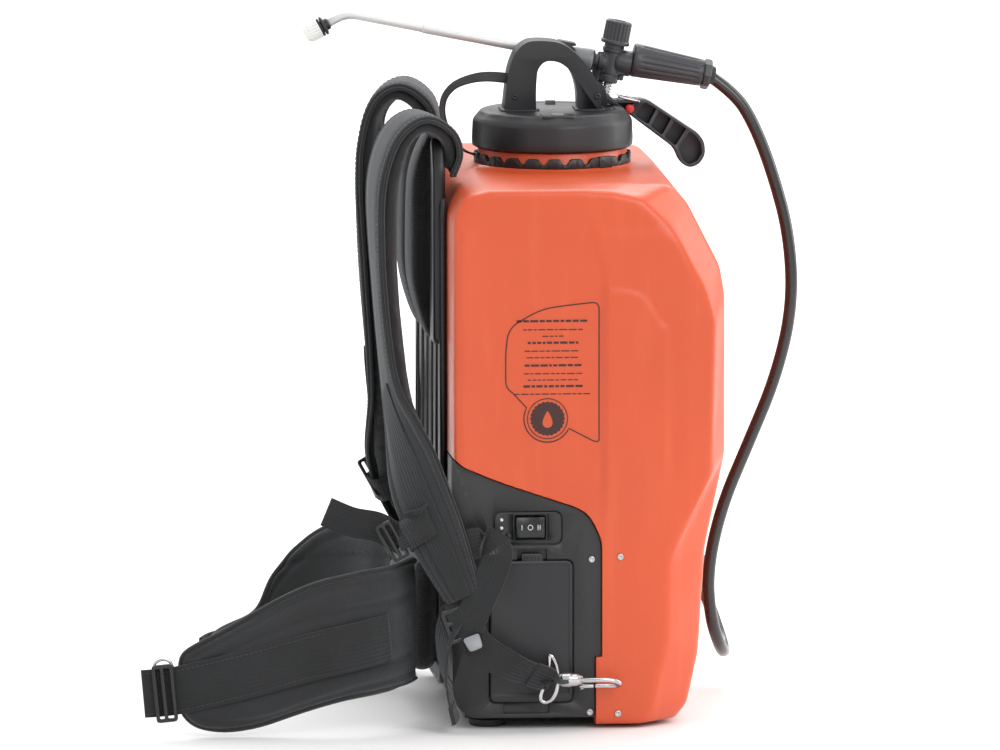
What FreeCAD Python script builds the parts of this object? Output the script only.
import FreeCAD, Part
import math
import os
import re

import Sketcher
from FreeCAD import Placement, Rotation, Vector

# A battery-driven knapsack sprayer of about 15 litres, in millimetres.
# +Z is up and the floor is z = 0. +X points away from the wearer's back, and the near side,
# where the battery door and the switch are, is -Y.

doc = FreeCAD.newDocument("backpack_sprayer")
sheet = doc.addObject("Spreadsheet::Sheet", "dims")

# alias, value, what it is
DRIVING_SIZES = [
    ("tank_half_width", 170, "side face of the tank, from the middle plane"),
    ("tank_flat_half_width", 140, "where the tank's side bevel starts"),
    ("tank_wall", 4, "wall of the blow-moulded tank"),
    ("tank_top", 425, "height of the tank's top"),
    ("chamber_floor", 146, "underside of the liquid, above the pump compartment"),
    ("neck_x", 106, "axis of the filler neck and the lid"),
    ("neck_radius", 58, "outside of the filler neck"),
    ("neck_bore_radius", 52, "inside of the filler neck"),
    ("neck_top", 449, "rim of the filler neck"),
    ("lug_x", 127, "wearer's side of the strap lug"),
    ("lug_length", 11, "strap lug along X"),
    ("lug_height", 54, "strap lug along Z"),
    ("lug_stand", 14, "how far the strap lug stands out of the side"),
    ("hook_z", 35, "height of the strap hook's leg in the lug"),
    ("neck_foot", 418, "where the filler neck starts, inside the tank's top"),
    ("basket_depth", 60, "strainer basket, below the neck's rim"),
    ("housing_half_width", 167, "side face of the base housing"),
    ("housing_wall", 4, "wall of the base housing"),
    ("housing_floor", 9, "bottom edge of the base housing"),
    ("plate_thickness", 3, "base plate"),
    ("foot_height", 6, "rubber foot"),
    ("foot_radius", 15, "rubber foot"),
    ("foot_front_x", 42, "front pair of feet"),
    ("foot_rear_x", 160, "rear pair of feet"),
    ("foot_front_y", 138, "front pair of feet"),
    ("foot_rear_y", 110, "rear pair of feet"),
    ("door_x", 41, "battery door opening, side nearest the wearer"),
    ("door_z", 21, "battery door opening, bottom"),
    ("door_width", 67, "battery door opening along X"),
    ("door_height", 114, "battery door opening along Z"),
    ("door_gap", 0.6, "gap round the battery door"),
    ("door_thickness", 4, "battery door"),
    ("door_proud", 1.5, "how far the door stands out of the housing"),
    ("panel_x", 45, "switch panel recess, side nearest the wearer"),
    ("panel_z", 147.5, "switch panel recess, bottom"),
    ("panel_width", 54, "switch panel recess along X"),
    ("panel_height", 26, "switch panel recess along Z"),
    ("panel_depth", 2.5, "depth of the switch panel recess"),
    ("rocker_x", 73.7, "middle of the rocker"),
    ("rocker_z", 161, "middle of the rocker"),
    ("rocker_width", 23, "rocker along X"),
    ("rocker_height", 17, "rocker along Z"),
    ("rocker_gap", 1, "gap round the rocker"),
    ("rocker_pin_radius", 0.7, "pins that the rocker tilts on"),
    ("button_x", 56.6, "battery test button"),
    ("button_z", 154.5, "battery test button"),
    ("button_radius", 2, "battery test button"),
    ("led_x", 51, "row of status lamps"),
    ("led_radius", 1.4, "status lamp"),
    ("led_pitch", 6.5, "between status lamps"),
    ("lid_radius", 64, "outside of the lid"),
    ("lid_bottom", 446, "lower edge of the lid's skirt"),
    ("lid_shoulder", 463, "where the lid's top chamfer starts"),
    ("lid_top", 472, "top of the lid"),
    ("lid_top_radius", 57, "flat top of the lid"),
    ("lid_wall", 4, "lid's skirt and top"),
    ("handle_half_depth", 13, "lid handle across"),
    ("handle_top", 530, "top of the lid handle"),
    ("gun_x", 155.2, "spray gun, where its valve crosses its barrel"),
    ("gun_y", 26, "spray gun, far side of the lid handle"),
    ("gun_z", 507.6, "spray gun, where its valve crosses its barrel"),
    ("gun_tilt", 11.3, "slope of the gun's barrel and lance, in degrees"),
    ("barrel_radius", 7.5, "gun barrel"),
    ("valve_radius", 8, "gun's valve housing"),
    ("stem_radius", 2.5, "valve stem"),
    ("lance_radius", 3.4, "lance tube"),
    ("lance_sleeve_radius", 4, "thicker part of the lance"),
    ("lance_reach", 215.7, "from the gun's valve to the bend of the lance"),
    ("nozzle_turn", 39.9, "bend of the lance, in degrees"),
    ("pin_back", 10.9, "lever pin, from the valve towards the lance"),
    ("pin_drop", 21.1, "lever pin, below the barrel"),
    ("lever_half_width", 8, "trigger lever across"),
    ("pin_radius", 1.5, "lever pin"),
    ("wire_end_radius", 1.4, "pivots of the lock wire"),
    ("running_gap", 0.06, "radial clearance of a turning fit"),
    ("strap_width", 58, "padded shoulder strap"),
    ("strap_thickness", 13, "padded shoulder strap"),
    ("webbing_width", 25, "strap webbing"),
    ("webbing_thickness", 2, "strap webbing"),
    ("belt_thickness", 12, "padded hip belt"),
    ("belt_webbing_width", 38, "hip belt webbing"),
    ("belt_webbing_thickness", 2.4, "hip belt webbing"),
    ("hose_radius", 5, "spray hose"),
    ("motor_x", 165, "pump motor's axis"),
    ("motor_z", 60, "pump motor's axis"),
    ("motor_radius", 18, "pump motor"),
    ("shaft_radius", 3, "pump shaft"),
    ("outlet_y", 128, "hose outlet, across"),
    ("outlet_z", 108, "hose outlet, height"),
]

for row, (alias, value, meaning) in enumerate(DRIVING_SIZES, start=1):
    sheet.set(f"A{row}", meaning)
    sheet.set(f"B{row}", str(value))
    sheet.setAlias(f"B{row}", alias)
doc.recompute()

ALONG_X = Rotation(Vector(0, 0, 1), Vector(1, 0, 0))
ALONG_Y = Rotation(Vector(0, 0, 1), Vector(0, 1, 0))
UPRIGHT = Rotation()

sub_parts = {}


def in_sheet(expression):
    """The expression with each alias written as the sheet's own cell."""
    return re.sub(r"[a-z][a-z_]*", lambda word: "dims." + word.group(0), str(expression))


def number(expression):
    """What an expression in aliases comes to."""
    return float(sheet.evalExpression(in_sheet(expression)))


def bind(obj, prop, expression):
    """Ties a property to the sheet, or sets it where the expression is a plain number."""
    if isinstance(expression, str):
        obj.setExpression(prop, in_sheet(expression))
    else:
        setattr(obj, prop, expression)


def place(obj, x, y, z, turn=UPRIGHT):
    """Gives an object a place whose coordinates are tied to the sheet."""
    obj.Placement = Placement(Vector(number(x), number(y), number(z)), turn)
    for letter, expression in zip("xyz", (x, y, z)):
        if isinstance(expression, str):
            obj.setExpression(f"Placement.Base.{letter}", in_sheet(expression))
    return obj


def box(name, length, width, height, x, y, z, turn=UPRIGHT):
    obj = doc.addObject("Part::Box", name)
    for prop, expression in (("Length", length), ("Width", width), ("Height", height)):
        bind(obj, prop, expression)
    return place(obj, x, y, z, turn)


def cylinder(name, radius, height, x, y, z, turn=UPRIGHT):
    obj = doc.addObject("Part::Cylinder", name)
    bind(obj, "Radius", radius)
    bind(obj, "Height", height)
    return place(obj, x, y, z, turn)


def cone(name, first_radius, second_radius, height, x, y, z, turn=UPRIGHT):
    obj = doc.addObject("Part::Cone", name)
    bind(obj, "Radius1", first_radius)
    bind(obj, "Radius2", second_radius)
    bind(obj, "Height", height)
    return place(obj, x, y, z, turn)


def sphere(name, radius, x, y, z):
    obj = doc.addObject("Part::Sphere", name)
    bind(obj, "Radius", radius)
    return place(obj, x, y, z)


def prism(name, sides, radius, height, x, y, z, turn=UPRIGHT):
    obj = doc.addObject("Part::Prism", name)
    obj.Polygon = sides
    bind(obj, "Circumradius", radius)
    bind(obj, "Height", height)
    return place(obj, x, y, z, turn)


def fuse(name, shapes):
    obj = doc.addObject("Part::MultiFuse", name)
    obj.Shapes = shapes
    return obj


def cut(name, base, tools):
    """The base with every tool taken out of it."""
    tool = tools[0] if len(tools) == 1 else fuse(name + "_tools", tools)
    obj = doc.addObject("Part::Cut", name)
    obj.Base = base
    obj.Tool = tool
    return obj


def group(name, shapes):
    """Several alike pieces that stay separate solids."""
    obj = doc.addObject("Part::Compound", name)
    obj.Links = shapes
    return obj


def solid(name, shape):
    """A shape that Part's own functions made."""
    obj = doc.addObject("Part::Feature", name)
    obj.Shape = shape
    return obj


def sub_part(obj, label):
    """Registers an object as a piece of the sprayer under its own label."""
    obj.Label = label
    sub_parts[label] = obj
    return obj


def origin_plane(body, role):
    return next(f for f in body.Origin.OriginFeatures if f.Role == role)


def outline(body, name, role, corners):
    """A closed sketch of straight edges, each corner held by two dimensions from the origin."""
    sketch = body.newObject("Sketcher::SketchObject", name)
    sketch.AttachmentSupport = (origin_plane(body, role), "")
    sketch.MapMode = "FlatFace"
    add_loop(sketch, corners)
    return sketch


def add_loop(sketch, corners):
    """Adds one closed loop of edges to a sketch."""
    first = sketch.GeometryCount
    points = [Vector(number(across), number(up), 0) for across, up in corners]
    count = len(points)
    for i in range(count):
        sketch.addGeometry(Part.LineSegment(points[i], points[(i + 1) % count]), False)
    for i in range(count):
        following = first + (i + 1) % count
        sketch.addConstraint(Sketcher.Constraint("Coincident", first + i, 2, following, 1))
    for i, pair in enumerate(corners):
        for kind, expression in zip(("DistanceX", "DistanceY"), pair):
            constraint = Sketcher.Constraint(kind, -1, 1, first + i, 1, number(expression))
            index = sketch.addConstraint(constraint)
            if isinstance(expression, str):
                sketch.setExpression(f"Constraints[{index}]", in_sheet(expression))


def extrude(body, kind, name, sketch, length, symmetric=True, reverse=False):
    """A Pad or a Pocket of a sketch."""
    feature = body.newObject("PartDesign::" + kind, name)
    feature.Profile = sketch
    feature.SideType = "Symmetric" if symmetric else "One side"
    feature.Reversed = reverse
    bind(feature, "Length", length)
    return feature


def revolved(name, corners, turn=UPRIGHT, x=0, y=0, z=0):
    """A body of revolution: corners are (radius, height) pairs round the sketch's upright axis."""
    body = doc.addObject("PartDesign::Body", name)
    sketch = outline(body, name + "_profile", "XZ_Plane", corners)
    feature = body.newObject("PartDesign::Revolution", name + "_turn")
    feature.Profile = sketch
    feature.ReferenceAxis = (sketch, ["V_Axis"])
    feature.Angle = 360
    place(body, x, y, z, turn)
    return body


def polygon_wire(points):
    return Part.makePolygon(list(points) + [points[0]])


def slab(corners, low_y, high_y):
    """A straight prism: an outline in X and Z, carried from one Y to another."""
    wire = polygon_wire([Vector(x, low_y, z) for x, z in corners])
    return Part.Face(wire).extrude(Vector(0, high_y - low_y, 0))


def inset(corners, distance):
    """The outline moved inwards by a distance. Corners run anticlockwise."""
    moved = []
    count = len(corners)
    for i in range(count):
        before, here, after = corners[i - 1], corners[i], corners[(i + 1) % count]
        ux, uz = here[0] - before[0], here[1] - before[1]
        vx, vz = after[0] - here[0], after[1] - here[1]
        first, second = math.hypot(ux, uz), math.hypot(vx, vz)
        nx, nz = -uz / first, ux / first
        mx, mz = -vz / second, vx / second
        reach = distance / (1 + nx * mx + nz * mz)
        moved.append((here[0] + (nx + mx) * reach, here[1] + (nz + mz) * reach))
    return moved


def beside(path, distance):
    """A path in plan moved sideways: to the left of its heading where the distance is positive."""
    moved = []
    last = len(path) - 1
    for i, (x, y) in enumerate(path):
        normals = []
        for first, second in ((i - 1, i), (i, i + 1)):
            if first >= 0 and second <= last:
                dx, dy = path[second][0] - path[first][0], path[second][1] - path[first][1]
                run = math.hypot(dx, dy)
                normals.append((-dy / run, dx / run))
        nx = sum(normal[0] for normal in normals)
        ny = sum(normal[1] for normal in normals)
        square = (nx * nx + ny * ny) / len(normals)
        moved.append((x + nx * distance / square, y + ny * distance / square))
    return moved


def mirrored(shape):
    """The same shape on the other side of the sprayer's middle plane."""
    return shape.mirror(Vector(0, 0, 0), Vector(0, 1, 0))


def both_sides(name, shape, label):
    """A piece on the near side and its mirror image on the far side, as one node."""
    pair = [solid(name + "_near", shape), solid(name + "_far", mirrored(shape))]
    return sub_part(group(name + "_pair", pair), label)


def rounded_path(points):
    """Straight runs joined by tangent arcs, each arc as large as its two runs allow.

    Returns the wire and the radii of its arcs."""
    share = 0.45
    points = [Vector(*p) for p in points]
    edges, radii = [], []
    start = points[0]
    for before, corner, after in zip(points, points[1:], points[2:]):
        incoming = (corner - before).normalize()
        outgoing = (after - corner).normalize()
        half_turn = incoming.getAngle(outgoing) / 2
        setback = share * min((corner - before).Length, (after - corner).Length)
        radius = setback / math.tan(half_turn)
        radii.append(radius)
        enter = corner - incoming * setback
        leave = corner + outgoing * setback
        inwards = (outgoing - incoming).normalize()
        middle = corner + inwards * (radius / math.cos(half_turn) - radius)
        edges.append(Part.makeLine(start, enter))
        edges.append(Part.Arc(enter, middle, leave).toShape())
        start = leave
    edges.append(Part.makeLine(start, points[-1]))
    return Part.Wire(edges), radii


def rod_along(points, radius):
    """A round rod along straight runs and tangent arcs, with its path's length and radii."""
    path, radii = rounded_path(points)
    start = Vector(*points[0])
    heading = Vector(*points[1]) - start
    ring = Part.Wire(Part.makeCircle(radius, start, heading))
    shape = path.makePipeShell([ring], True, True)
    return shape, path.Length, radii


def tube_along(points, radius, bore):
    outer = rod_along(points, radius)[0]
    inner = rod_along(points, bore)[0]
    return outer.cut(inner)


def ribbon(stations, width, thickness):
    """A flat band through stations of (x, y, z, twist): twist is how far the band's width has
    turned from the Y axis towards the wearer, in degrees."""
    centres = [Vector(*station[:3]) for station in stations]
    last = len(centres) - 1
    sections = []
    for i, station in enumerate(stations):
        along = (centres[min(i + 1, last)] - centres[max(i - 1, 0)]).normalize()
        twist = math.radians(station[3])
        across = Vector(-math.sin(twist), math.cos(twist), 0)
        across = (across - along * across.dot(along)).normalize()
        normal = along.cross(across)
        side, face = across * (width / 2), normal * (thickness / 2)
        here = centres[i]
        corners = [here - side - face, here + side - face, here + side + face, here - side + face]
        sections.append(polygon_wire(corners))
    return Part.makeLoft(sections, True, True)


# Tank: a blow-moulded shell. The chamber for the liquid is closed but for its neck, and a skirt
# below it stands round the pump. Outlines in X and Z run anticlockwise from the front bottom.

def tank_outlines():
    """The tank's outline on its middle stretch and on its side faces, corner for corner."""
    top = number("tank_top")
    middle = [
        (16, 3), (191, 3), (201, 16), (210, 57), (215, 139), (231, 215), (231, 340),
        (227, 364), (200, top - 11), (184, top), (43, top), (24, top - 7), (12, top - 30), (12, 20),
    ]
    side = [
        (20, 3), (162, 3), (170, 20), (182, 70), (183, 130), (217, 200), (220, 322),
        (212, 350), (181, top - 28), (153, top - 13), (50, top - 13), (33, top - 21),
        (22, top - 40), (20, 24),
    ]
    return middle, side


def housing_outline():
    """The base housing's outline in X and Z, anticlockwise."""
    low = number("housing_floor")
    return [
        (26, low), (125, low), (125, 57), (130, 57), (130, 150), (127, 163), (119, 172),
        (88, 182), (48, 197), (20, 209), (12, 216), (12, 30), (16, 18),
    ]


def tank_loft(middle, side, flat_half, half):
    """The solid between the side outlines and the middle outline."""
    sections = []
    for corners, y in ((side, -half), (middle, -flat_half), (middle, flat_half), (side, half)):
        sections.append(polygon_wire([Vector(x, y, z) for x, z in corners]))
    return Part.makeLoft(sections, True, True)


def below_floor(corners, depth):
    """The outline with its bottom edge lowered, to cut through the skirt's open bottom."""
    lowest = min(z for x, z in corners)
    return [(x, z - depth if z < lowest + 1 else z) for x, z in corners]


def make_tank():
    wall = number("tank_wall")
    half, flat_half = number("tank_half_width"), number("tank_flat_half_width")
    middle, side = tank_outlines()
    outer = tank_loft(middle, side, flat_half, half)
    inner = tank_loft(
        below_floor(inset(middle, wall), 12), below_floor(inset(side, wall), 12),
        flat_half - wall / 2, half - wall,
    )
    clearance = 0.6
    boundary = inset(housing_outline(), -clearance)
    recess = boundary[2:11] + [(-20, 245), (-20, -20), (boundary[1][0], -20)]
    wearer_side = slab(recess, -half - 1, half + 1)
    lining = slab(inset(recess, -wall), -half - 1, half + 1)
    floor = number("chamber_floor")
    far = 400
    above = Part.makeBox(far, 2 * half, far, Vector(-50, -half, floor))
    below = Part.makeBox(far, 2 * half, far, Vector(-50, -half, floor - wall - far))
    chamber = inner.common(above).cut(lining)
    compartment = inner.common(below).cut(lining)
    shell = outer.cut(wearer_side)
    neck_x, neck_top = number("neck_x"), number("neck_top")
    neck_foot = number("neck_foot")
    neck = Part.makeCylinder(number("neck_radius"), neck_top - neck_foot, Vector(neck_x, 0, neck_foot))
    bore = Part.makeCylinder(number("neck_bore_radius"), 60, Vector(neck_x, 0, 400))
    shell = shell.fuse(neck)
    lug = Part.makeBox(
        number("lug_length"), number("lug_stand"), number("lug_height"),
        Vector(number("lug_x"), -half - number("lug_stand") + 2, 3),
    )
    eye = Part.makeCylinder(5, 40, Vector(110, -half - 6, number("hook_z")), Vector(1, 0, 0))
    lugs = lug.cut(eye)
    shell = shell.fuse([lugs, mirrored(lugs)])
    plate_way = Part.makeBox(30, 2 * 150, 8, Vector(115, -150, 1.5))
    pipe_window = Part.makeBox(20, 110, 90, Vector(125, -70, 22))
    suction_hole = Part.makeCylinder(8.1, 20, Vector(165, 37, floor - 12))
    outlet_hole = Part.makeCylinder(
        8.1, 40, Vector(195, number("outlet_y"), number("outlet_z")), Vector(1, 0, 0)
    )
    tools = [chamber, compartment, bore, plate_way, pipe_window, suction_hole, outlet_hole]
    shape = shell.cut(tools).removeSplitter()
    sub_part(solid("Tank", shape), "tank")


def make_strainer():
    """The basket that hangs in the filler neck, by its rim."""
    profile = [
        ("neck_bore_radius - 4", "0 - basket_depth"), ("neck_bore_radius - 2.5", "0 - basket_depth"),
        ("neck_bore_radius - 2.5", 0),
        ("neck_radius - 2", 0), ("neck_radius - 2", 1.5), ("neck_bore_radius - 4", 1.5),
    ]
    floor_profile = [
        (0, "0 - basket_depth"), ("neck_bore_radius - 4", "0 - basket_depth"),
        ("neck_bore_radius - 4", "1.5 - basket_depth"), (0, "1.5 - basket_depth"),
    ]
    wall = revolved("Strainer_wall", profile, x="neck_x", z="neck_top")
    floor = revolved("Strainer_floor", floor_profile, x="neck_x", z="neck_top")
    sub_part(fuse("Strainer", [wall, floor]), "strainer_basket")


def make_tether():
    """The ring round the neck and the strap that keeps the lid with the tank."""
    ring = [
        ("neck_radius + 0.2", 433), ("neck_radius + 4", 433), ("neck_radius + 4", 439),
        ("neck_radius + 0.2", 441),
    ]
    sub_part(revolved("Tether_ring", ring, x="neck_x"), "tether_ring")
    strap = [
        (45, 439), (33, 444), (23, 457), (18, 475), (22, 489), (36, 498), (52, 501), (65.5, 499),
    ]
    edge = beside(strap, 0.8) + beside(strap, -0.8)[::-1]
    sub_part(solid("Tether_strap", slab(edge, -4.5, 4.5)), "tether_strap")


# Base: the housing that holds the battery, the switch panel and the electronics, with its plate,
# feet and the screws that join it to the tank's skirt.

def make_housing():
    body = doc.addObject("PartDesign::Body", "Housing_shell")
    outer = outline(body, "Housing_outline", "XZ_Plane", housing_outline())
    extrude(body, "Pad", "Housing_pad", outer, "2 * housing_half_width")
    hollow = inset(housing_outline(), number("housing_wall"))
    hollow = [(x, z - 8 if z < 14 else z) for x, z in hollow]
    inner = outline(body, "Housing_hollow", "XZ_Plane", hollow)
    extrude(body, "Pocket", "Housing_pocket", inner, "2 * housing_half_width - 2 * housing_wall")
    near = "-housing_half_width - 1"
    tools = [
        box("Door_opening", "door_width", 8, "door_height", "door_x", near, "door_z"),
        box("Latch_recess", 24, 3.5, 9, 63, near, "door_z + door_height"),
        box("Tab_recess", 36, 2.5, 8, 53, near, 12.5),
        box("Panel_recess", "panel_width", "panel_depth + 1", "panel_height", "panel_x", near, "panel_z"),
        box(
            "Rocker_hole", "rocker_width + 2 * rocker_gap", 8, "rocker_height + 2 * rocker_gap",
            "rocker_x - rocker_width / 2 - rocker_gap", near,
            "rocker_z - rocker_height / 2 - rocker_gap",
        ),
        cylinder("Button_hole", "button_radius + 0.1", 8, "button_x", near, "button_z", ALONG_Y),
        box("Pipe_window", 20, 110, 90, 118, -70, 22),
        cylinder("Hinge_hole", 1.7, "door_width + 6", "door_x - 3", "-housing_half_width + 2.5",
                 "door_z + 4", ALONG_X),
        cylinder("Rocker_pin_seat", "rocker_pin_radius + 0.1", "rocker_height + 2 * rocker_gap + 4",
                 "rocker_x", "-housing_half_width + panel_depth",
                 "rocker_z - rocker_height / 2 - rocker_gap - 2"),
    ]
    sub_part(cut("Housing", body, tools), "base_housing")


def make_base_plate():
    plate = box("Plate", 155, 280, "plate_thickness", 24, -140, "foot_height")
    ribs = [
        box(f"Plate_rib_{i}", 150, 4, 6, 26, y, "foot_height + plate_thickness - 0.5")
        for i, y in enumerate((-60, 66))
    ]
    front = [box(f"Rib_gap_{i}", 18, 10, 10, 118, y - 3, 9) for i, y in enumerate((-60, 66))]
    sub_part(cut("Base_plate", fuse("Plate_and_ribs", [plate] + ribs), front), "base_plate")
    feet = []
    for i, side in enumerate(("-", "")):
        for place_name in ("front", "rear"):
            x, y = f"foot_{place_name}_x", f"{side}foot_{place_name}_y"
            feet.append(cone(f"Foot_{place_name}_{i}", "foot_radius - 1", "foot_radius", "foot_height",
                             x, y, 0))
    sub_part(group("Feet", feet), "rubber_feet")


def make_door():
    """The battery door: it turns on two pins at its lower edge."""
    leaf = box(
        "Door_leaf", "door_width - 2 * door_gap", "door_thickness", "door_height - 2 * door_gap",
        "door_x + door_gap", "-housing_half_width - door_proud", "door_z + door_gap",
    )
    tab = box("Door_tab", 18, 3, 7.5, 66, "-housing_half_width - door_proud", "door_z + door_height - 2")
    stop = box("Door_foot_relief", 70, 4, 3, 40, "-housing_half_width + 1.2", "door_z")
    pins = cylinder("Door_pins", 1.6, "door_width + 5", "door_x - 2.5", "-housing_half_width + 2.5",
                    "door_z + 4", ALONG_X)
    between_pins = box("Door_pin_gap", "door_width - 8", 8, 8, "door_x + 4",
                       "-housing_half_width - 2", "door_z")
    pin_ends = cut("Door_pin_ends", pins, [between_pins])
    leaf = cut("Door_relieved", leaf, [stop])
    sub_part(fuse("Door", [leaf, tab, pin_ends]), "battery_door")


def make_battery():
    block = box("Battery_block", 60, 84, 106, 44.5, -157, 24)
    rails = [box(f"Battery_rail_{i}", 4, 70, 3, x, -150, 130) for i, x in enumerate((52, 93))]
    contact = box("Battery_contacts", 24, 4, 14, 62, -75, 60)
    sub_part(fuse("Battery", [block] + rails + [contact]), "battery_pack")


def make_switch_panel():
    plate = box("Bezel_plate", "panel_width - 1", 1.5, "panel_height - 1", "panel_x + 0.5",
                "-housing_half_width + panel_depth - 1.5", "panel_z + 0.5")
    window = box(
        "Bezel_window", "rocker_width + 2 * rocker_gap", 8, "rocker_height + 2 * rocker_gap",
        "rocker_x - rocker_width / 2 - rocker_gap", "-housing_half_width - 2",
        "rocker_z - rocker_height / 2 - rocker_gap",
    )
    button_hole = cylinder("Bezel_button_hole", "button_radius + 0.1", 8, "button_x",
                           "-housing_half_width - 2", "button_z", ALONG_Y)
    led_holes, leds = [], []
    for i in range(3):
        z = f"panel_z + panel_height / 2 + {i - 1} * led_pitch"
        led_holes.append(cylinder(f"Led_hole_{i}", "led_radius", 8, "led_x",
                                  "-housing_half_width - 2", z, ALONG_Y))
        leds.append(cylinder(f"Led_{i}", "led_radius", 2.3, "led_x",
                             "-housing_half_width + panel_depth - 2.3", z, ALONG_Y))
    pins = []
    for i, end in enumerate(("rocker_z - rocker_height / 2 - rocker_gap - 1.5",
                             "rocker_z + rocker_height / 2 - 2.5")):
        pins.append(cylinder(f"Rocker_pin_{i}", "rocker_pin_radius", 5, "rocker_x",
                             "-housing_half_width + panel_depth", end))
    bezel = cut("Bezel_plate_cut", plate, [window, button_hole] + led_holes)
    sub_part(fuse("Bezel", [bezel] + pins), "switch_bezel")
    sub_part(group("Leds", leds), "status_leds")
    button = fuse("Button_parts", [
        cylinder("Button_stem", "button_radius", 6.5, "button_x", "-housing_half_width - 0.6",
                 "button_z", ALONG_Y),
        cylinder("Button_foot", "button_radius + 1", 1, "button_x", "-housing_half_width + 5.4",
                 "button_z", ALONG_Y),
    ])
    sub_part(button, "test_button")
    body = doc.addObject("PartDesign::Body", "Rocker")
    half = "rocker_width / 2"
    profile = outline(body, "Rocker_profile", "XY_Plane", [
        ("-rocker_width / 2", -5), (0, -3), (half, -5), (half, 1), (3, 5), (-3, 5),
        ("-rocker_width / 2", 1),
    ])
    extrude(body, "Pad", "Rocker_pad", profile, "rocker_height")
    place(body, "rocker_x", "-housing_half_width + panel_depth", "rocker_z")
    pivot = cylinder("Rocker_pin_hole", "rocker_pin_radius + 0.1", "rocker_height + 4", "rocker_x",
                     "-housing_half_width + panel_depth", "rocker_z - rocker_height / 2 - 2")
    sub_part(cut("Rocker_drilled", body, [pivot]), "rocker_switch")
    board = box("Board_plate", 50, 1.6, 26, 46, -155.5, 146)
    chips = [box(f"Board_chip_{i}", 9, 2.2, 9, x, -154, 152) for i, x in enumerate((52, 66, 80))]
    sub_part(fuse("Board", [board] + chips), "circuit_board")


# Pump compartment: an electric motor turns an eccentric in a diaphragm pump, which draws from the
# chamber floor through a screen and feeds the outlet elbow in the skirt's rear wall.

def make_pump():
    axis = ("motor_x", "motor_z")
    motor = fuse("Motor_solid", [
        cylinder("Motor_can", "motor_radius", 68, axis[0], -75, axis[1], ALONG_Y),
        cylinder("Motor_nose", 9, 6, axis[0], -8, axis[1], ALONG_Y),
    ])
    motor_bore = cylinder("Motor_bore", "shaft_radius + running_gap", 12, axis[0], -12, axis[1],
                          ALONG_Y)
    sub_part(cut("Motor", motor, [motor_bore]), "pump_motor")
    head = fuse("Head_solid", [
        box("Head_block", 46, 44, 46, "motor_x - 23", 16, "motor_z - 23"),
        cylinder("Inlet_port", 6, 12, 165, 37, "motor_z + 22"),
        cylinder("Delivery_port", 5, 10, 165, 59, "motor_z", ALONG_Y),
    ])
    head_bore = cylinder("Head_bore", "shaft_radius + running_gap", 14, axis[0], 12, axis[1], ALONG_Y)
    sub_part(cut("Head", head, [head_bore]), "pump_head")
    shaft = fuse("Shaft_parts", [
        cylinder("Shaft", "shaft_radius", 36, axis[0], -10, axis[1], ALONG_Y),
        cylinder("Eccentric", 8, 8, "motor_x + 2", 3, axis[1], ALONG_Y),
    ])
    sub_part(shaft, "pump_shaft")
    cradle = box("Cradle_block", 40, 130, 40, "motor_x - 20", -72, "foot_height + plate_thickness")
    hollows = [
        cylinder("Cradle_motor_way", "motor_radius + 0.2", 84, axis[0], -80, axis[1], ALONG_Y),
        box("Cradle_head_way", 60, 60, 60, "motor_x - 30", 15.5, "motor_z - 23.2"),
        box("Cradle_shaft_way", 60, 14.5, 60, "motor_x - 30", 1, "motor_z - 30"),
        box("Cradle_rib_way_near", 60, 5, 8, 140, -60.5, 8),
    ]
    sub_part(cut("Cradle", cradle, hollows), "pump_cradle")
    screen = fuse("Screen_parts", [
        cylinder("Screen", 14, 20, 165, 37, "chamber_floor"),
        cylinder("Screen_stem", 8, 14, 165, 37, "chamber_floor - 13"),
    ])
    screen_bore = cylinder("Screen_bore", 4, 30, 165, 37, "chamber_floor - 14")
    sub_part(cut("Outlet_screen", screen, [screen_bore]), "outlet_screen")
    pipe = tube_along([(165, 37, 94), (165, 37, 114), (165.1, 37, 133)], 6, 4)
    outlet_y, outlet_z = number("outlet_y"), number("outlet_z")
    delivery = [
        (165, 69, 60), (165, 90, 60), (166, 113, 70), (170, outlet_y, 92),
        (180, outlet_y + 1, outlet_z - 2), (201, outlet_y, outlet_z),
    ]
    suction = solid("Suction_hose", pipe)
    sub_part(group("Inner_hoses", [suction, solid("Delivery_hose", tube_along(delivery, 5, 3))]),
             "inner_hoses")


def make_outlet():
    """The elbow through the skirt's rear wall, and the nut that holds the hose on it."""
    tilt = Rotation(Vector(0, 0, 1), Vector(0.26, 0, -0.966))
    elbow = fuse("Elbow_parts", [
        cylinder("Elbow_pipe", 8, 25, 203, "outlet_y", "outlet_z", ALONG_X),
        cylinder("Elbow_flange", 12, 3, 215, "outlet_y", "outlet_z", ALONG_X),
        sphere("Elbow_knee", 8, 228, "outlet_y", "outlet_z"),
        cylinder("Elbow_spout", 6, 12, 228, "outlet_y", "outlet_z", tilt),
    ])
    bore = cylinder("Elbow_bore", 3, 30, 200, "outlet_y", "outlet_z", ALONG_X)
    sub_part(cut("Elbow", elbow, [bore]), "outlet_elbow")
    down = tilt.multVec(Vector(0, 0, 1))
    start = Vector(228, number("outlet_y"), number("outlet_z")) + down * 12
    sub_part(prism("Outlet_nut", 8, 9.5, 9, start.x, start.y, start.z, tilt), "outlet_nut")


# Lid with its handle, and the spray gun and lance that are clipped to the handle.

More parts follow.
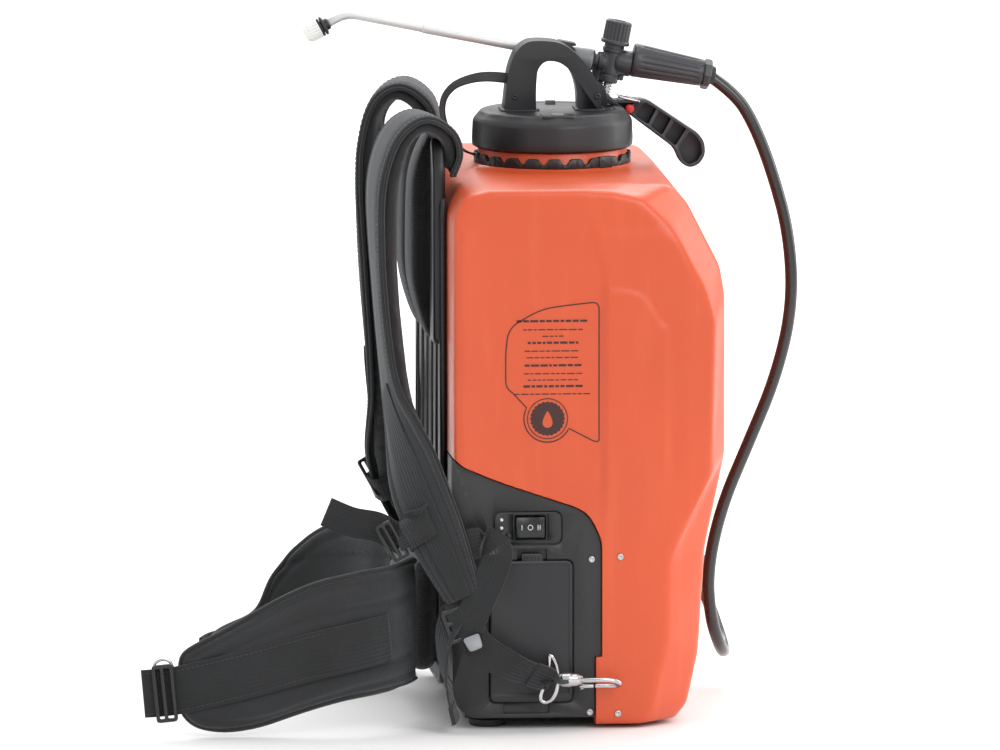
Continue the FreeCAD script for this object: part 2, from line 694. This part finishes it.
def make_lid():
    profile = [
        ("neck_radius + 1", "lid_bottom"), ("lid_radius", "lid_bottom"), ("lid_radius", "lid_shoulder"),
        ("lid_top_radius", "lid_top"), (0, "lid_top"), (0, "lid_top - lid_wall"),
        ("neck_radius + 1", "lid_top - lid_wall"),
    ]
    boss = [
        ("neck_bore_radius - 5", "neck_top + 5"), ("neck_radius", "neck_top + 5"),
        ("neck_radius", "lid_top - lid_wall"), ("neck_bore_radius - 5", "lid_top - lid_wall"),
    ]
    shell = revolved("Lid_shell", profile, x="neck_x")
    carrier = revolved("Lid_gasket_carrier", boss, x="neck_x")
    vent_hole = cylinder("Vent_hole", 3.05, 20, "neck_x + 2", 40, "lid_top - 15")
    sub_part(cut("Lid", fuse("Lid_solid", [shell, carrier]), [vent_hole]), "lid")
    gasket = [
        ("neck_bore_radius + 1", "neck_top + 2"), ("neck_radius", "neck_top + 2"),
        ("neck_radius", "neck_top + 5"), ("neck_bore_radius + 1", "neck_top + 5"),
    ]
    sub_part(revolved("Gasket", gasket, x="neck_x"), "lid_gasket")
    vent = fuse("Vent_parts", [
        cylinder("Vent_stem", 3, 14, "neck_x + 2", 40, "lid_top - 12"),
        box("Vent_cap", 8, 8, 2, "neck_x - 2", 36, "lid_top"),
    ])
    sub_part(vent, "lid_vent")


def make_handle():
    """The bail handle: a block with a finger gap, its top sloping down to the right."""
    body = doc.addObject("PartDesign::Body", "Handle_block")
    outer = outline(body, "Handle_outline", "XZ_Plane", [
        (66, "lid_top"), (92, "lid_top"), (92, 494), (95, 504), (102, 509.5), (112, 509.5),
        (119, 504), (122.5, 494), (123.5, "lid_top"), (150, "lid_top"), (150, 500), (146, 508),
        (139, 515), (129, 523), (118, 527), (109, "handle_top"), (90, "handle_top"), (80, 526),
        (72, 516), (68, 504),
    ])
    extrude(body, "Pad", "Handle_pad", outer, "2 * handle_half_depth")
    barrel_way = cylinder("Handle_gun_way", 9.6, 60, "gun_x - 75", "gun_y", "gun_z + 15",
                          Rotation(Vector(0, 1, 0), 90 + number("gun_tilt")))
    sub_part(cut("Handle", body, [barrel_way]), "lid_handle")
    screws = [
        cylinder(f"Handle_screw_{i}", 2.2, 1.2, x, "-handle_half_depth - 1.2", 486, ALONG_Y)
        for i, x in enumerate((75, 141))
    ]
    sub_part(group("Handle_screws", screws), "handle_screws")


def gun_placement():
    return Placement(
        Vector(number("gun_x"), number("gun_y"), number("gun_z")),
        Rotation(Vector(0, 1, 0), number("gun_tilt")),
    )


def on_gun(obj, label):
    """Puts a piece made in the gun's own frame in its place. There X runs along the barrel
    towards the hose, and Z along the valve, away from the lever."""
    obj.Placement = gun_placement().multiply(obj.Placement)
    bind_gun_place(obj)
    return sub_part(obj, label)


def bind_gun_place(obj):
    """Ties a fused piece's place to the sheet. Its own frame is the gun's."""
    for letter, alias in zip("xyz", ("gun_x", "gun_y", "gun_z")):
        if obj.TypeId in ("Part::MultiFuse", "Part::Cut", "Part::Compound"):
            obj.setExpression(f"Placement.Base.{letter}", in_sheet(alias))


def nozzle_heading():
    """Which way the lance points past its bend, in the gun's frame."""
    turn = math.radians(number("nozzle_turn"))
    return Vector(-math.cos(turn), 0, -math.sin(turn))


def at_nozzle(distance):
    """Where a piece of the nozzle sits, this far past the bend, and its turn."""
    heading = nozzle_heading()
    spot = Vector(-number("lance_reach"), 0, 0) + heading * distance
    return spot.x, spot.y, spot.z, Rotation(Vector(0, 0, 1), heading)


def make_gun():
    back = Rotation(Vector(0, 0, 1), Vector(-1, 0, 0))
    cross = fuse("Gun_cross", [
        cylinder("Gun_barrel", "barrel_radius", 30, -14, 0, 0, ALONG_X),
        cylinder("Gun_neck", 5.9, 10, -14, 0, 0, back),
        cylinder("Gun_valve", "valve_radius", 31, 0, 0, -15),
        cylinder("Gun_cap_seat", 6, 9, 0, 0, 16),
    ])
    boss = cylinder("Gun_boss", 9.2, 14, 2, 0, 3, ALONG_X)
    ear = fuse("Gun_ear", [
        box("Gun_ear_plate", 9, 6, 23, -14, -3, -26),
        box("Gun_ear_root", 10, 9, 8, -13, -4.5, -12),
    ])
    body = fuse("Gun_solid", [fuse("Gun_cross_and_boss", [cross, boss]), ear])
    tools = [
        cylinder("Gun_stem_bore", "stem_radius + running_gap", 26, 0, 0, -16),
        cylinder("Gun_pin_hole", "pin_radius + 0.02", 12, "0 - pin_back", -6, "0 - pin_drop", ALONG_Y),
        cylinder("Gun_lance_bore", "lance_radius + 0.1", 12, -25, 0, 0, ALONG_X),
    ]
    on_gun(cut("Gun_body", body, tools), "gun_body")
    grip = cone("Grip_cone", 13.6, 10.6, 58, 16.1, 0, 6.4, ALONG_X)
    grip_bore = cylinder("Grip_bore", 5.1, 30, 52, 0, 6, ALONG_X)
    on_gun(cut("Gun_grip", grip, [grip_bore]), "gun_grip")
    collar = prism("Collar_prism", 8, 12.4, 5.4, 74.2, 0, 6, ALONG_X)
    collar_bore = cylinder("Collar_bore", 8, 20, 70, 0, 6, ALONG_X)
    on_gun(cut("Grip_collar", collar, [collar_bore]), "grip_collar")
    nut = cone("Collar_nut_cone", 9, 8, 16, -15.5, 0, 0, back)
    nut_tools = [
        cylinder("Nut_neck_bore", 5.96, 9.5, -15, 0, 0, back),
        cylinder("Nut_lance_bore", "lance_sleeve_radius + running_gap", 30, -10, 0, 0, back),
    ]
    on_gun(cut("Collar_nut", nut, nut_tools), "collar_nut")
    ring = cut("Barrel_ring_cut", cylinder("Barrel_ring_disc", 8.4, 1.2, -14.1, 0, 0, back),
               [cylinder("Barrel_ring_bore", 5.95, 6, -12, 0, 0, back)])
    nozzle_seal = cut("Nozzle_seal_cut", cylinder("Nozzle_seal_disc", 7.6, 1.8, *at_nozzle(21.8)),
                      [cylinder("Nozzle_seal_bore", 4.7, 6, *at_nozzle(19))])
    on_gun(group("Gun_seals", [ring, nozzle_seal]), "gun_seals")
    cap = cut("Valve_cap_cut", fuse("Valve_cap_solid", [
        cylinder("Valve_cap_skirt", 11.5, 3, 0, 0, 16.1),
        cylinder("Valve_cap_body", 10.5, 16, 0, 0, 19),
    ]), [cylinder("Valve_cap_bore", "6 + running_gap", 10, 0, 0, 15)])
    on_gun(cap, "valve_cap")
    stem = fuse("Stem_parts", [
        cylinder("Stem_rod", "stem_radius", 36, 0, 0, -29.5),
        cylinder("Stem_foot", 4.5, 2, 0, 0, -29.5),
    ])
    on_gun(stem, "valve_stem")
    spring = cut("Spring_cut", cylinder("Spring_outer", 4.8, 11.8, 0, 0, -27.2),
                 [cylinder("Spring_inner", 3.2, 20, 0, 0, -30)])
    on_gun(spring, "valve_spring")


def make_lance():
    reach = number("lance_reach")
    tip = nozzle_heading()
    bend = Vector(-reach, 0, 0)
    end = bend + tip * 20
    points = [(-15.6, 0, 0), tuple(bend), tuple(end)]
    tube = tube_along(points, number("lance_radius"), number("lance_radius") - 1)
    start, stop = -24.6, -153
    sleeve = Part.makeCylinder(number("lance_sleeve_radius"), start - stop, Vector(stop, 0, 0),
                               Vector(1, 0, 0))
    sleeve = sleeve.cut(Part.makeCylinder(number("lance_radius") - 0.5, 200, Vector(-200, 0, 0),
                                          Vector(1, 0, 0)))
    lance = solid("Lance", tube.fuse(sleeve))
    on_gun(lance, "lance_tube")
    seat = fuse("Nozzle_solid", [
        cylinder("Nozzle_stub", 4.6, 12, *at_nozzle(16)),
        cylinder("Nozzle_flange", 6.6, 2.6, *at_nozzle(19)),
    ])
    seat = cut("Nozzle_cut", seat, [cylinder("Nozzle_way", "lance_radius", 4.2, *at_nozzle(15.9))])
    on_gun(seat, "nozzle_seat")
    cap = cut("Nozzle_cap_cut", fuse("Nozzle_cap_solid", [
        cylinder("Nozzle_cap_body", 7.4, 9, *at_nozzle(23.8)),
        cone("Nozzle_cap_front", 7.4, 5, 4, *at_nozzle(32.8)),
    ]), [
        cylinder("Nozzle_cap_bore", "4.6 + running_gap", 6, *at_nozzle(23)),
        cylinder("Nozzle_cap_orifice", 1, 20, *at_nozzle(22)),
    ])
    on_gun(cap, "nozzle_cap")
    clip_ring = cut("Clip_cut", fuse("Clip_solid", [
        box("Clip_plate", 18, 3, 12, -50, -12.8, -0.1),
        box("Clip_arm", 16, 13, 2, -46, -12.8, 9.8),
        box("Clip_tip", 12, 2, 6, -46, -1.4, 5.2),
    ]), [cylinder("Clip_lance_way", 4.3, 60, -60, 0, 0, ALONG_X)])
    on_gun(clip_ring, "lance_clip")


def make_lever():
    """The trigger lever: a forked arm at the pin, then a channel open to the near side."""
    body = doc.addObject("PartDesign::Body", "Lever_block")
    rim = [
        (-5, 1.5), (-2, -4), (10, -12.5), (18, -14.2), (27, -20), (40, -30), (64.5, -48.5), (69, -60),
        (77, -65), (85, -62), (90, -54), (89, -44), (85, -38), (42, -9), (16, -9.5), (4, 3), (-2, 5),
    ]
    outer = outline(body, "Lever_outline", "XZ_Plane", rim)
    extrude(body, "Pad", "Lever_pad", outer, "2 * lever_half_width")
    slot = box("Lever_slot", 24, 10.4, 31, -8, -5.2, -11.35)
    channel = [
        [(18, -12.4), (26.5, -17.5), (34, -12), (18, -11.2)],
        [(33, -22), (44, -29.5), (50, -17.5), (41, -11.5)],
        [(46, -31), (55, -38.5), (62, -25.5), (52.5, -19)],
        [(57, -40), (66, -47), (74, -33.5), (64.5, -27)],
        [(68, -49), (72, -59), (77, -62), (83, -59.5), (87, -53), (86, -45), (82, -39), (76, -35)],
    ]
    cells = [
        solid(f"Lever_cell_{i}", slab(cell, -number("lever_half_width") - 1, 5))
        for i, cell in enumerate(channel)
    ]
    pin_hole = cylinder("Lever_pin_hole", "pin_radius + running_gap", 30, 0, -15, 0, ALONG_Y)
    wire_hole = cylinder("Lever_wire_hole", "wire_end_radius + running_gap", 30, 36, -15, -10.6,
                         ALONG_Y)
    button_hole = cylinder("Lever_button_hole", "3 + running_gap", 30, 29, -15, -16.6, ALONG_Y)
    lever = cut("Lever", body, [slot, pin_hole, wire_hole, button_hole] + cells)
    spot = gun_placement().multVec(Vector(-number("pin_back"), 0, -number("pin_drop")))
    print("lever pin at %.2f, %.2f, %.2f" % tuple(spot))
    sub_part(place(lever, spot.x, spot.y, spot.z), "trigger_lever")
    pin = cylinder("Lever_pin", "pin_radius", 17, spot.x, spot.y - 8.5, spot.z, ALONG_Y)
    sub_part(pin, "lever_pin")
    button = cylinder("Lock_button", 3, 19, spot.x + 29, spot.y - 10.5, spot.z - 16.6, ALONG_Y)
    sub_part(button, "lock_button")
    wire = [(36, -11, -10.6), (33, -11, -9.9), (22, -10.6, -7.4), (20.5, 0, -7.1),
            (22, 10.6, -7.4), (33, 11, -9.9), (36, 11, -10.6)]
    loop = rod_along(wire, 0.9)[0]
    ends = [
        Part.makeCylinder(number("wire_end_radius"), 6, Vector(36, y, -10.6), Vector(0, 1, 0))
        for y in (-13, 7)
    ]
    lock = solid("Lock_wire", loop.fuse(ends))
    sub_part(place(lock, spot.x, spot.y, spot.z), "lock_wire")


# The spray hose: it hangs from the grip behind the tank, turns under and rises to the outlet.

HOSE_ROUTE = [
    (234.8, 26, 496.5), (254.5, 26, 482.7), (269.3, 26, 459), (284, 26, 421), (298, 26.5, 370),
    (301, 27.5, 312), (288, 29, 255), (266, 30, 202), (244, 31, 150), (233, 32, 98),
    (236, 33, 60.6), (245, 51, 35.6), (252, 80, 26), (251, 109.6, 35.6), (243.5, 128.5, 60.6),
    (234, 128, 86.4),
]


def make_hose():
    tube, length, radii = rod_along(HOSE_ROUTE, number("hose_radius"))
    section = math.pi * number("hose_radius") ** 2
    print("hose: length %.1f, volume %.0f, section times length %.0f"
          % (length, tube.Volume, section * length))
    print("hose radii:", " ".join("%.0f" % radius for radius in radii))
    sub_part(solid("Hose", tube), "spray_hose")


# Harness: what the wearer carries the sprayer by. The near side is built and the far side mirrored.

def make_backrest():
    plate = box("Backrest_panel", 5, 230, 396, 7, -115, 28)
    doc.recompute()
    rounded = doc.addObject("Part::Fillet", "Backrest")
    rounded.Base = plate
    upright_corners = [
        (i + 1, 24, 24) for i, edge in enumerate(plate.Shape.Edges)
        if abs(edge.Vertexes[0].X - edge.Vertexes[1].X) > 1
    ]
    rounded.Edges = upright_corners
    sub_part(rounded, "backrest_plate")


def pad_block(name, length, width, height, x, y, z, rounding):
    """A padded block with all its edges rounded."""
    body = box(name + "_block", length, width, height, x, y, z)
    doc.recompute()
    rounded = doc.addObject("Part::Fillet", name)
    rounded.Base = body
    rounded.Edges = [(i + 1, rounding, rounding) for i in range(len(body.Shape.Edges))]
    return rounded


def make_back_pads():
    near = pad_block("Back_pad_near", 20, 60, 150, -13, -76, 312, 6)
    far = pad_block("Back_pad_far", 20, 60, 150, -13, 16, 312, 6)
    sub_part(group("Back_pads", [near, far]), "back_pads")
    sub_part(pad_block("Lumbar_pad", 24, 196, 100, -17, -98, 32, 8), "lumbar_pad")


SHOULDER_STATIONS = [
    (15, -78, 434, 4), (21, -80, 452, 6), (14, -83, 473, 10), (-4, -86, 485, 14), (-22, -88, 476, 18),
    (-34, -90, 452, 22), (-40, -93, 412, 24), (-41, -99, 340, 26), (-36, -112, 272, 32),
    (-30, -130, 226, 40), (-20, -155, 185, 52), (-4, -177, 146, 66), (12, -188, 112, 76),
]


def make_shoulder_straps():
    width, thickness = number("strap_width"), number("strap_thickness")
    band = ribbon(SHOULDER_STATIONS, width, thickness)
    sub_part(solid("Shoulder_pad_near", band), "shoulder_pad_left")
    sub_part(solid("Shoulder_pad_far", mirrored(band)), "shoulder_pad_right")
    lock = ribbon([(14.5, -189, 104, 80), (23, -191, 80, 84)], 30, 5)
    way = ribbon([(19, -190, 92, 82), (20.8, -190.4, 86.5, 82)], 24, 9)
    lock = lock.cut(way)
    both_sides("Ladder_lock", lock, "ladder_locks")
    lower = [(23.4, -191, 78, 84), (32, -191, 68, 86), (56, -188, 56, 88), (84, -182, 43, 88)]
    webbing = ribbon(lower, number("webbing_width"), number("webbing_thickness"))
    both_sides("Lower_webbing", webbing, "lower_webbing")


def make_snap_hooks():
    """A swivel hook whose nose passes through the lug, and the gate that closes it."""
    half = number("tank_half_width")
    z = number("hook_z")
    outer_y, inner_y = -half - 17.5, -half - 6
    ring = rod_along([(88, -181, 60), (93, -181, 52), (94, -181, 42), (93, -181, 32), (88, -181, 24),
                      (81, -181, 27)], 1.7)[0]
    bar = rod_along([(88, -181, 60), (86.5, -181, 45), (81, -181, 27)], 1.7)[0]
    swivel = Part.makeCylinder(4.6, 16, Vector(95.2, -181, z + 6), Vector(1, 0, 0))
    shank = rod_along([
        (110, -181, z + 6), (117, outer_y + 1, z + 6), (130, outer_y, z + 6.5), (146, outer_y, z + 5),
        (150, -half - 12, z + 2), (146, inner_y, z), (134, inner_y, z + 0.3), (124, inner_y, z),
    ], 1.9)[0]
    hook = ring.fuse([bar, swivel, shank])
    gate = Part.makeCylinder(1.6, 10, Vector(113.2, inner_y, z), Vector(1, 0, 0))
    knuckle = Part.makeCylinder(1.75, 3, Vector(113.2, inner_y, z - 1.5))
    gate = gate.fuse(knuckle)
    post = Part.makeCylinder(1.5, 9, Vector(112, inner_y, z), Vector(0, -0.75, 0.6))
    hook = hook.fuse(post.cut(Part.makeSphere(2.4, Vector(113.2, inner_y, z))))
    both_sides("Snap_hook", hook, "snap_hooks")
    sub_part(solid("Snap_gate_near", gate), "snap_gate_left")
    sub_part(solid("Snap_gate_far", mirrored(gate)), "snap_gate_right")


def belt_wing(path, side_outline):
    """A curved padded wing: a bent band in plan, trimmed to its outline seen from the side."""
    thickness = number("belt_thickness")
    edge = beside(path, thickness / 2) + beside(path, -thickness / 2)[::-1]
    plan = Part.Face(polygon_wire([Vector(x, y, 0) for x, y in edge])).extrude(Vector(0, 0, 140))
    low = min(y for x, y in path) - 20
    high = max(y for x, y in path) + 20
    return plan.common(slab(side_outline, low, high))


def belt_webbing(path, heights, width, thickness):
    """A band on edge beside a path in plan: its width stands upright along the whole belt."""
    faces = (beside(path, thickness / 2), beside(path, -thickness / 2))
    sections = []
    for i, middle in enumerate(heights):
        (ax, ay), (bx, by) = faces[0][i], faces[1][i]
        low, high = middle - width / 2, middle + width / 2
        corners = [Vector(ax, ay, low), Vector(bx, by, low), Vector(bx, by, high), Vector(ax, ay, high)]
        sections.append(polygon_wire(corners))
    return Part.makeLoft(sections, True, True)


def make_hip_belt():
    near_path = [(-14, -99.5), (-26, -130), (-42, -155), (-66, -174), (-104, -186), (-160, -191),
                 (-208, -188), (-234, -184)]
    near_side = [(-6, 31), (-6, 131), (-30, 130), (-100, 121), (-169, 88), (-216, 60), (-202, 14),
                 (-169, 3), (-109, 15), (-30, 29)]
    far_path = [(-14, 99.5), (-26, 130), (-42, 157), (-66, 179), (-96, 190), (-126, 183),
                (-148, 160), (-158, 128)]
    far_side = [(-6, 31), (-6, 131), (-30, 130), (-60, 123), (-95, 101), (-130, 78), (-170, 62),
                (-170, 14), (-100, 6), (-30, 29)]
    sub_part(solid("Wing_near", belt_wing(near_path, near_side)), "hip_wing_left")
    sub_part(solid("Wing_far", belt_wing(far_path, far_side)), "hip_wing_right")
    width, thickness = number("belt_webbing_width"), number("belt_webbing_thickness")
    gap = 0.6
    stand = number("belt_thickness") / 2 + thickness / 2 + gap
    near_webbing = belt_webbing(beside(near_path, stand)[2:], (74, 70, 63, 49, 38, 35), width, thickness)
    far_webbing = belt_webbing(beside(far_path, -stand)[2:], (74, 68, 56, 42, 36, 34), width, thickness)
    pair = [solid("Belt_webbing_near", near_webbing), solid("Belt_webbing_far", far_webbing)]
    sub_part(group("Belt_webbing", pair), "belt_webbing")
    slider = Part.makeBox(16, 3, 46, Vector(-226, 0, 13))
    slider = slider.cut(Part.makeBox(4, 5, 39, Vector(-222, -1, 16.5)))
    slider.rotate(Vector(-218, 0, 36), Vector(0, 1, 0), 6)
    slider.rotate(Vector(-218, 0, 36), Vector(0, 0, 1), -8.7)
    slider.translate(Vector(0, -199.4, 0))
    sub_part(solid("Belt_slider_near", slider), "belt_slider")


def make_screws():
    """The visible screws that join the housing and the tank's skirt."""
    heads = []
    for i, (x, z) in enumerate(((122.5, 135), (145, 137), (121, 13), (143, 12))):
        near_face = "-housing_half_width" if x < 128 else "-tank_half_width"
        for side, sign in (("near", ""), ("far", "-")):
            y = f"{near_face} - 1.4" if side == "near" else f"0 - ({near_face})"
            heads.append(cylinder(f"Screw_{side}_{i}", 3, 1.4, x, y, z, ALONG_Y))
    sub_part(group("Case_screws", heads), "case_screws")


def check_and_export():
    """Recomputes, stops at any object that failed, then writes one STEP file per sub-part."""
    doc.recompute()
    for obj in doc.Objects:
        if "Invalid" in obj.State or "Error" in obj.State:
            raise RuntimeError(f"{obj.Name} failed: {obj.State}")
    for label, obj in sub_parts.items():
        shape = obj.Shape
        if shape.isNull() or not shape.isValid() or not shape.Solids:
            raise RuntimeError(f"{label} has no valid solid")
    os.makedirs("parts", exist_ok=True)
    for label, obj in sub_parts.items():
        obj.Shape.exportStep(f"parts/{label}.step")
    print(len(sub_parts), "sub-parts written")


make_tank()
make_strainer()
make_tether()
make_housing()
make_base_plate()
make_door()
make_battery()
make_switch_panel()
make_pump()
make_outlet()
make_lid()
make_handle()
make_gun()
make_lance()
make_lever()
make_hose()
make_backrest()
make_back_pads()
make_shoulder_straps()
make_snap_hooks()
make_hip_belt()
make_screws()
check_and_export()
